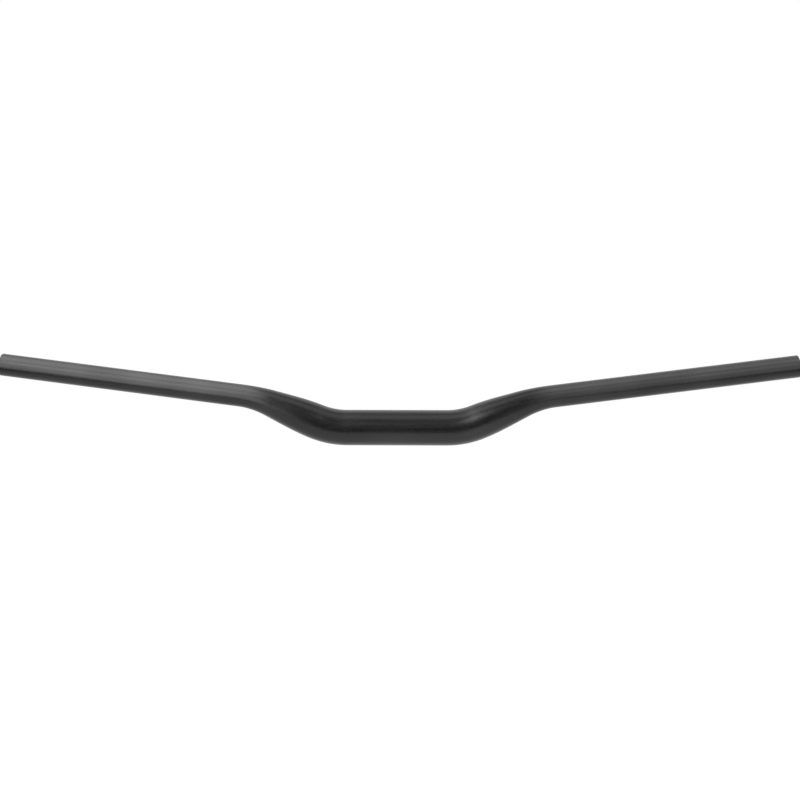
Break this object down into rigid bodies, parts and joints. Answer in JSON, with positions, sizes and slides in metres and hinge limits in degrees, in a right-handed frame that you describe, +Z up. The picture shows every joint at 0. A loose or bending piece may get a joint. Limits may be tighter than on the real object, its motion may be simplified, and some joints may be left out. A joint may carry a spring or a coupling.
{
  "type": "riser handlebar",
  "caption": "Riser handlebar for a bicycle, made of a bent, tapered hollow tube with a straight stem clamp zone, rising bends and swept-back ends for grips and levers.",
  "frame": {"origin": "on the tube's axis, in the middle of the stem clamp zone", "axes": "+X along the clamp zone, +Y to the rider, the way the ends sweep back, +Z up, the way the bar rises"},
  "size_m": [0.8, 0.0695, 0.0817],
  "materials": {
    "black_anodised_aluminium": "satin black anodised over a fine blasted surface"
  },
  "bodies": {
    "root": {"handlebar": "black_anodised_aluminium"}
  },
  "joints": []
}
